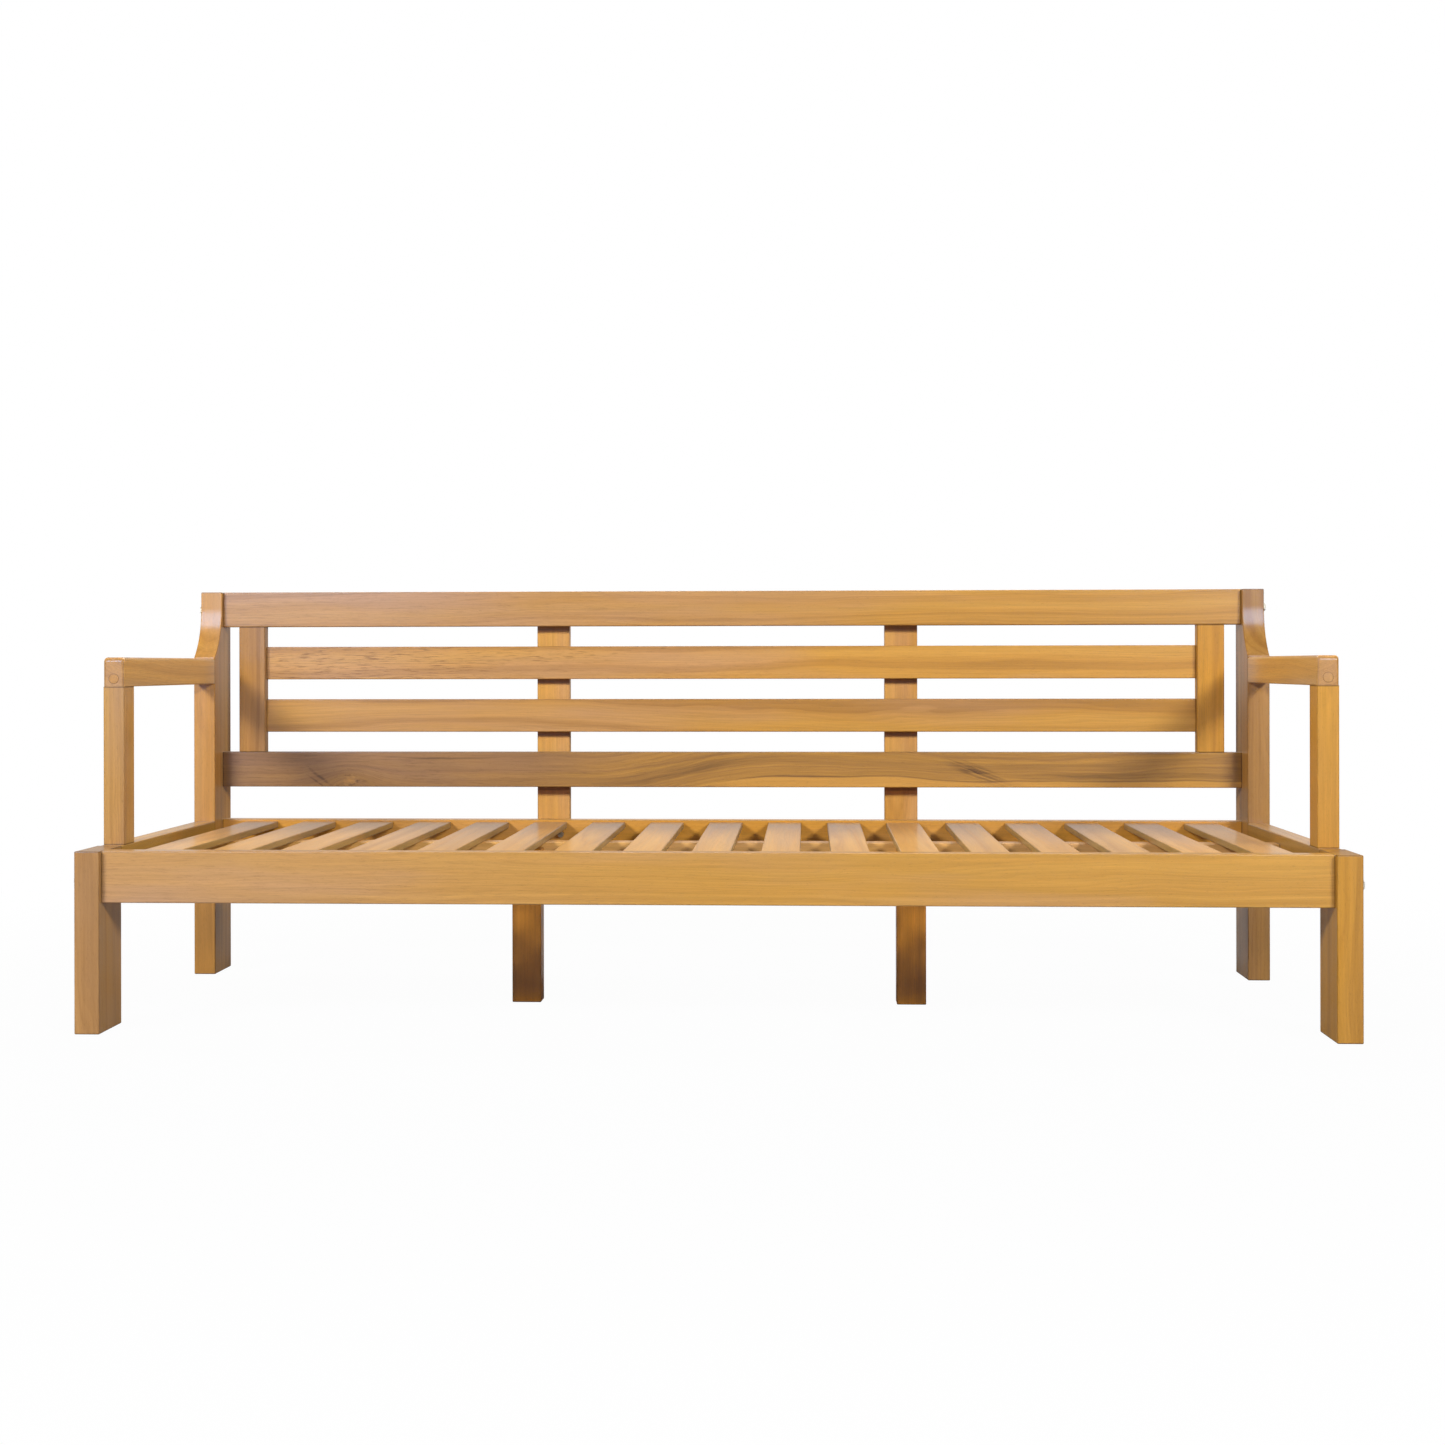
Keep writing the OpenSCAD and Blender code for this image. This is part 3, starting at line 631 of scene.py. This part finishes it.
WELD = 1e-5
FLAT = math.radians(0.2)
FLAT_FACE = 0.999
SHARP = math.radians(35)
SOFT_EDGE = 0.0018
SOFT_STEPS = 3
ROUND = 0.5


def new_object(name, data):
    made = bpy.data.objects.new(name, data)
    scene.collection.objects.link(made)
    return made


def mesh_object(name, mesh):
    data = bpy.data.meshes.new(name)
    mesh.to_mesh(data)
    mesh.free()
    return new_object(name, data)


def clean_mesh(node):
    """The CAD node's own shape, welded and with each flat face made whole."""
    mesh = bmesh.new()
    mesh.from_mesh(frame["nodes"][node].data)
    bmesh.ops.remove_doubles(mesh, verts=mesh.verts, dist=WELD)
    bmesh.ops.dissolve_limit(mesh, angle_limit=FLAT, verts=mesh.verts, edges=mesh.edges)
    return mesh


def outline(mesh, axis, value):
    """Edges round the outside of the mesh's flat face at that value of the axis, without its holes."""
    def flat_here(face):
        return abs(face.normal[axis]) > FLAT_FACE and abs(face.verts[0].co[axis] - value) < WELD

    rims = {e for e in mesh.edges if sum(flat_here(f) for f in e.link_faces) == 1}
    best, best_size = [], 0.0
    while rims:
        loop, front = [], [rims.pop()]
        while front:
            edge = front.pop()
            loop.append(edge)
            linked = {e for v in edge.verts for e in v.link_edges} & rims
            rims -= linked
            front += linked
        points = [v.co for e in loop for v in e.verts]
        size = sum(max(p[i] for p in points) - min(p[i] for p in points) for i in (X, Y, Z))
        if size > best_size:
            best, best_size = loop, size
    return best


def soften(mesh, edges, offset=SOFT_EDGE):
    """Rounds the given edges where they are sharp."""
    sharp = [e for e in set(edges) if e.calc_face_angle(0) > SHARP]
    bmesh.ops.bevel(
        mesh, geom=sharp, offset=offset, segments=SOFT_STEPS, profile=ROUND, affect="EDGES",
        clamp_overlap=True)


def finish_piece(mesh, name, node, material):
    """Makes the object that stands for a CAD node."""
    piece = mesh_object(name, mesh)
    data = piece.data
    data.polygons.foreach_set("use_smooth", [True] * len(data.polygons))
    data.set_sharp_from_angle(angle=SHARP)
    data.materials.append(material)
    weighted = piece.modifiers.new("flat_faces", "WEIGHTED_NORMAL")
    weighted.keep_sharp = True
    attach(piece, "root")
    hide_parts(node)
    return piece


NOSE = 0.008
NOSE_STEPS = 8
ARM_EDGE = 0.005
ARM_LOW_EDGE = 0.0022
ARM_EDGE_STEPS = 4


def armrest_mesh(low, high):
    """Armrest with a rounded nose and rounded long edges. It butts the back post and sits on the arm post."""
    turns = [math.radians(90) * i / NOSE_STEPS for i in range(NOSE_STEPS + 1)]
    nose = [(low.y + NOSE * (1 - math.sin(t)), high.z - NOSE * (1 - math.cos(t))) for t in turns]
    outline_points = [(low.y, low.z), (high.y, low.z), (high.y, high.z)] + nose
    mesh = bmesh.new()
    side = mesh.faces.new([mesh.verts.new((low.x, y, z)) for y, z in outline_points])
    grown = bmesh.ops.extrude_face_region(mesh, geom=[side])["geom"]
    moved = [v for v in grown if isinstance(v, bmesh.types.BMVert)]
    bmesh.ops.translate(mesh, verts=moved, vec=(high.x - low.x, 0, 0))
    bmesh.ops.recalc_face_normals(mesh, faces=mesh.faces)

    def along_a_side(edge, low_ones):
        start, end = (v.co for v in edge.verts)
        if abs(start.x - end.x) > WELD or min(start.y, end.y) > high.y - WELD:
            return False
        return (max(start.z, end.z) < low.z + WELD) == low_ones

    for low_ones, offset in ((False, ARM_EDGE), (True, ARM_LOW_EDGE)):
        edges = [e for e in mesh.edges if along_a_side(e, low_ones) and e.calc_face_angle(0) > SHARP]
        bmesh.ops.bevel(
            mesh, geom=edges, offset=offset, segments=ARM_EDGE_STEPS, profile=ROUND, affect="EDGES")
    return mesh


def free_edges(mesh, name, low, high):
    """Edges of a board that nothing butts against."""
    kind = name.rsplit("_", 1)[0]
    if kind not in ("front_leg", "mid_leg", "center_post", "back_post"):
        return []
    edges = outline(mesh, Z, low.z) + outline(mesh, Z, high.z)
    if kind == "back_post":
        edges += outline(mesh, X, low.x) + outline(mesh, X, high.x) + outline(mesh, Y, low.y)
    return edges


# ---------- Boards ----------

# The stretch of each kind of board that shows between its joints
leg_low, leg_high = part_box("front_leg_right")
post_low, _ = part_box("back_post_right")
ACROSS = (-leg_low.x, leg_low.x)
DEEP = (leg_high.y, post_low.y)
UPRIGHT = (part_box("back_lower_rail")[1].z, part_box("back_top_rail")[0].z)
BETWEEN_STILES = (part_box("back_stile_left")[1].x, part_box("back_stile_right")[0].x)
UNDER_ARM = (leg_high.z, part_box("armrest_right")[0].z)
ALONG_ARM = (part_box("armrest_right")[0].y, post_low.y)
SLAT = (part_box("front_rail")[1].y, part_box("rear_rail")[0].y)

RAIL = BOARD._replace(shown=ACROSS)
BACK_SLAT = BOARD._replace(shown=BETWEEN_STILES, figure=0.5)
# The rails and back boards lean their blush, a painted cool sheen, to the left end
BOARDS = {
    "front_rail": RAIL._replace(figure=0.4, flecks=0.2, lean=-0.5, gain=0.91),
    # The rear rail's front, seen between the slats, takes painted light
    "rear_rail": RAIL._replace(gain=0.90, flank=(1.2, 1.08, 0.8)),
    "center_beam": RAIL._replace(slot="wood_shaded", tone="wood_straw", gain=0.98, coat=0.3),
    "back_top_rail": RAIL._replace(figure=0.55, flecks=0.25, lean=-0.6, gain=0.90),
    "back_lower_rail": RAIL._replace(
        slot="wood_streaked", figure=0.3, swirl=0.08, flecks=0.3, lean=-0.4, gain=0.92),
    "back_slat_upper": BACK_SLAT._replace(flecks=0.8, lean=-0.3, gain=0.98),
    "back_slat_lower": BACK_SLAT._replace(flecks=0.15, lean=-0.2, gain=0.89),
}

# Upright boards come in pairs. Brightness, painted light and shade on the flanks, and varnish are for the
# left one and the right one
UPRIGHTS = {
    "front_leg": BOARD._replace(grain="Z", slot="wood_amber"),
    "mid_leg": BOARD._replace(grain="Z", slot="wood_shaded"),
    "back_post": BOARD._replace(grain="Z", slot="wood_amber"),
    "arm_post": BOARD._replace(grain="Z", shown=UNDER_ARM),
    "back_stile": BOARD._replace(grain="Z", slot="wood_amber", shown=UPRIGHT),
    "center_post": BOARD._replace(grain="Z"),
}
GAINS = {
    "front_leg": (0.87, 0.88),
    "mid_leg": (1.57, 1.82),
    "back_post": (1.0, 0.68),
    "arm_post": (0.85, 0.94),
    "back_stile": (0.79, 0.93),
    "center_post": (1.04, 0.98),
}
# Painted shade and light on the flanks of the front legs and back posts, left and right
FLANK_SHADINGS = {"front_leg": (0.83, 0.90), "back_post": (0.83, 1.1)}
EVEN_FLANK_SHADINGS = (1.0, 1.0)
COATS = {"front_leg": (0.6, 0.3), "arm_post": (0.45, 0.1), "back_stile": (0.4, 0.3)}
EVEN_COATS = (BOARD.coat, BOARD.coat)
GOLDEN = ("front_leg_right", "arm_post_right", "back_stile_right")

# The side rails' and seat slats' flanks take painted shade and the armrests' painted light; the seat slats
# lean their blush, a painted cool sheen, to the back
SIDE_RAIL = BOARD._replace(grain="Y", shown=DEEP, gain=1.04, flank=(0.69, 0.71, 0.74))
ARMREST = BOARD._replace(
    grain="Y", slot="wood_amber", shown=ALONG_ARM, gain=1.18, flank=(1.0, 1.07, 1.02))
SEAT_SLAT = BOARD._replace(
    grain="Y", slot="wood_straw", shown=SLAT, figure=0.3, lean=0.4, flank=(0.66, 0.75, 0.8), coat=0.45)
SEAT_SLAT_GAINS = (0.94, 1.06)

for i, side in enumerate(("left", "right")):
    for kind, board in UPRIGHTS.items():
        node = f"{kind}_{side}"
        flank = FLANK_SHADINGS.get(kind, EVEN_FLANK_SHADINGS)[i]
        BOARDS[node] = board._replace(
            tone="wood_gold" if node in GOLDEN else None,
            gain=GAINS[kind][i],
            flank=(flank, flank, flank),
            coat=COATS.get(kind, EVEN_COATS)[i],
        )
    BOARDS["side_rail_" + side] = SIDE_RAIL
    BOARDS["armrest_" + side] = ARMREST
for node in sorted(frame["nodes"]):
    if node.startswith("seat_slat_"):
        BOARDS[node] = SEAT_SLAT._replace(gain=chance.uniform(*SEAT_SLAT_GAINS))

for node, board in BOARDS.items():
    low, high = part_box(node)
    if node.startswith("armrest"):
        mesh = armrest_mesh(Vector((low.x, low.y, low.z)), Vector((high.x, post_low.y, high.z)))
    else:
        mesh = clean_mesh(node)
        soften(mesh, free_edges(mesh, node, low, high))
    material = wood_material(node, board, low, high, chance.uniform(0, SEEDS), FIGURES_AND_SHADES.get(node))
    finish_piece(mesh, node + "_board", node, material)

# ---------- Metal, dowels and pegs ----------

ZINC_DULL = linear(184, 180, 168)
ZINC_BRIGHT = linear(212, 208, 194)
ZINC_CLOUDS = Noise(1.0, (260, 260, 260), detail=4, roughness=0.6)
ZINC_CLOUD_STEP = (0.35, 0.65)
ZINC_ROUGHNESS = 0.28
ZINC_ROUGHNESS_GAIN = 0.2
ZINC_SCRATCHES = Noise(4.0, (300, 2600, 2600))
SCRATCH_STRENGTH = 0.2
SCRATCH_DISTANCE = 0.0002


def zinc_material():
    """Cloudy, finely scratched zinc plating."""
    material, n = new_material("steel_zinc")
    place = n.add("ShaderNodeTexCoord").outputs["Object"]
    clouds = n.noise(place, ZINC_CLOUDS)
    bump = n.add("ShaderNodeBump", {
        "Strength": SCRATCH_STRENGTH,
        "Distance": SCRATCH_DISTANCE,
        "Height": n.noise(place, ZINC_SCRATCHES),
    })
    shader = n.add("ShaderNodeBsdfPrincipled", {
        "Base Color": n.mix(n.ramp(clouds, *ZINC_CLOUD_STEP), ZINC_DULL, ZINC_BRIGHT),
        "Roughness": n.plus(ZINC_ROUGHNESS, n.times(clouds, ZINC_ROUGHNESS_GAIN)),
        "Normal": bump.outputs[0],
        "Metallic": 1.0,
    })
    n.add("ShaderNodeOutputMaterial", {"Surface": shader.outputs[0]})
    return material


METAL_EDGE = 0.0004
PEG_EDGE = 0.0008
ZINC = zinc_material()
PEGS = {
    "frame_dowels": BOARD._replace(grain="X", slot="wood_straw"),
    "slat_dowels": BOARD._replace(grain="Z", slot="wood_straw"),
    "arm_pegs": BOARD._replace(grain="Y", slot="wood_amber", gain=1.2),
}
GLUE = PEGS["arm_pegs"]._replace(gain=0.6)
GLUE_SEED = 3.0
PEG_RISE = 0.0003
RING_RISE = 0.0001
RING_DEPTH = 0.0005
RING_OUTER = 1.06
RING_STEPS = 48


def add_peg_rings(mesh, low, high):
    """Thin closed rings of dark glue round the armrest pegs' heads, in the second material."""
    size = high.z - low.z
    z = (low.z + high.z) / 2
    inner, outer = size / 2, size / 2 * RING_OUTER
    front, rear = low.y - RING_RISE, low.y + RING_DEPTH
    turns = [math.tau * i / RING_STEPS for i in range(RING_STEPS)]
    for x in (low.x + size / 2, high.x - size / 2):
        rims = []
        for radius, y in ((inner, front), (outer, front), (outer, rear), (inner, rear)):
            rims.append([
                mesh.verts.new((x + radius * math.cos(t), y, z + radius * math.sin(t))) for t in turns])
        for rim, next_rim in zip(rims, rims[1:] + rims[:1]):
            for i in range(RING_STEPS):
                following = (i + 1) % RING_STEPS
                face = mesh.faces.new((rim[i], rim[following], next_rim[following], next_rim[i]))
                face.material_index = 1


for node in sorted(set(frame["nodes"]) - set(BOARDS)):
    mesh = clean_mesh(node)
    if node in PEGS:
        low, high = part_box(node)
        soften(mesh, mesh.edges, PEG_EDGE)
        material = wood_material(node, PEGS[node], low, high, chance.uniform(0, SEEDS))
        if node == "arm_pegs":
            bmesh.ops.translate(mesh, verts=mesh.verts, vec=(0, -PEG_RISE, 0))
            add_peg_rings(mesh, low, high)
        piece = finish_piece(mesh, node + "_turned", node, material)
        if node == "arm_pegs":
            piece.data.materials.append(wood_material("peg_glue", GLUE, low, high, GLUE_SEED))
    else:
        soften(mesh, mesh.edges, METAL_EDGE)
        finish_piece(mesh, node + "_metal", node, ZINC)

# ---------- Studio ----------

# The camera was fitted to the straight edges in the photo
SENSOR_WIDTH = 36.0
LENS = 46.1
LENS_SHIFT = -0.039
CAMERA_PLACE = (0.153, cad_low.y - 2.8615, 0.578)
CAMERA_TURN = (math.radians(90), 0.0016, 0.0457)

camera = new_object("camera", bpy.data.cameras.new("camera"))
camera.data.sensor_width = SENSOR_WIDTH
camera.data.lens = LENS
camera.data.shift_y = LENS_SHIFT
camera.location = CAMERA_PLACE
camera.rotation_mode = "XYZ"
camera.rotation_euler = CAMERA_TURN
scene.camera = camera


def area_light(name, place, target, size, power, color, shines=True, only_in=None):
    """A softbox that can be left out of reflections, or be seen only in those of one collection."""
    data = bpy.data.lights.new(name, "AREA")
    data.shape = "RECTANGLE"
    data.size, data.size_y = size
    data.energy = power
    data.color = color
    light = new_object(name, data)
    light.location = place
    direction = Vector(target) - Vector(place)
    light.rotation_euler = direction.to_track_quat("-Z", "Y").to_euler()
    light.visible_glossy = shines
    if only_in:
        light.visible_diffuse = False
        light.light_linking.receiver_collection = only_in


# The seat slats are left out of the varnished collection, since they would glare when seen from behind
VARNISHED = bpy.data.collections.new("varnished")
METAL = bpy.data.collections.new("metal")
for piece in scene.objects:
    if piece.name.endswith("_metal"):
        METAL.objects.link(piece)
    elif piece.name.endswith(("_board", "_turned")) and not piece.name.startswith("seat_slat"):
        VARNISHED.objects.link(piece)

WHITE = (1.0, 1.0, 1.0)
COOL = (0.96, 0.99, 1.05)
SKY = (0.28, 0.76, 1.5)
PALE_SKY = (0.46, 0.81, 1.34)
for side in (-1, 1):
    area_light(
        "key", place=(3.6 * side, -4.0, 3.0), target=(0, 0, 0.4), size=(2.0, 0.5), power=272, color=COOL,
        shines=False)
    area_light(
        "shine", place=(2.3 * side, -3.6, 2.2), target=(0.9 * side, 0, 0.7), size=(1.6, 1.9), power=110,
        color=PALE_SKY, only_in=VARNISHED)
    area_light(
        "glint", place=(3.0 * side, -3.0, 1.0), target=(side, 0, 0.4), size=(2.0, 2.0), power=60,
        color=WHITE, only_in=METAL)
area_light(
    "veil", place=(-2.1, -3.3, 0.9), target=(-0.5, 0, 0.7), size=(1.6, 1.0), power=9, color=SKY,
    only_in=VARNISHED)
area_light(
    "veil", place=(2.4, -3.3, 0.9), target=(0.9, 0, 0.7), size=(1.2, 1.0), power=7, color=SKY,
    only_in=VARNISHED)
area_light("top", place=(0.0, 1.5, 3.2), target=(0, 0, 0.3), size=(3.0, 1.2), power=75, color=WHITE)

# Reflections of the world brighten from the bench's front to its back
PAINT = (*WHITE, 1.0)
MIRRORED = (-0.6, 0.6, 0.12, 0.65)
AMBIENT = 0.07


def make_world():
    """White to the camera and in reflections from behind, and dim to everything else."""
    world = bpy.data.worlds.new("studio")
    world.use_nodes = True
    world.node_tree.nodes.clear()
    n = Nodes(world.node_tree)
    direction = n.add("ShaderNodeTexCoord").outputs["Generated"]
    light_path = n.add("ShaderNodeLightPath").outputs
    glossy = light_path["Is Glossy Ray"]
    mirrored = n.times(glossy, n.ramp(n.split(direction)[Y], *MIRRORED))
    level = n.plus(mirrored, n.times(n.minus(1.0, glossy), AMBIENT))
    studio = n.add("ShaderNodeBackground", {"Color": PAINT, "Strength": level}).outputs[0]
    white = n.add("ShaderNodeBackground", {"Color": PAINT, "Strength": 1.0}).outputs[0]
    seen = light_path["Is Camera Ray"]
    shown = n.add("ShaderNodeMixShader", {0: seen, 1: studio, 2: white}).outputs[0]
    n.add("ShaderNodeOutputWorld", {"Surface": shown})
    scene.world = world


FLOOR_RADIUS = 40.0
FLOOR_CORNERS = 96
FLOOR_COLOR = (0.38, 0.38, 0.38, 1.0)
FLOOR_FADE = (0.9, 2.4, 0.975, 1.0)


def make_floor():
    """Pale floor that fades to white away from the bench."""
    mesh = bmesh.new()
    bmesh.ops.create_circle(mesh, cap_ends=True, segments=FLOOR_CORNERS, radius=FLOOR_RADIUS)
    floor = mesh_object("floor", mesh)
    material, n = new_material("floor")
    distance = n.length(n.add("ShaderNodeTexCoord").outputs["Object"])
    matte = n.add("ShaderNodeBsdfDiffuse", {"Color": FLOOR_COLOR}).outputs[0]
    white = n.add("ShaderNodeEmission", {"Color": PAINT, "Strength": 1.0}).outputs[0]
    seen = n.add("ShaderNodeLightPath").outputs["Is Camera Ray"]
    fade = n.times(n.ramp(distance, *FLOOR_FADE), seen)
    shown = n.add("ShaderNodeMixShader", {0: fade, 1: matte, 2: white}).outputs[0]
    n.add("ShaderNodeOutputMaterial", {"Surface": shown})
    floor.data.materials.append(material)
    floor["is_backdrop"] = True


make_world()
make_floor()
scene.view_settings.view_transform = "Standard"

low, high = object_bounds()
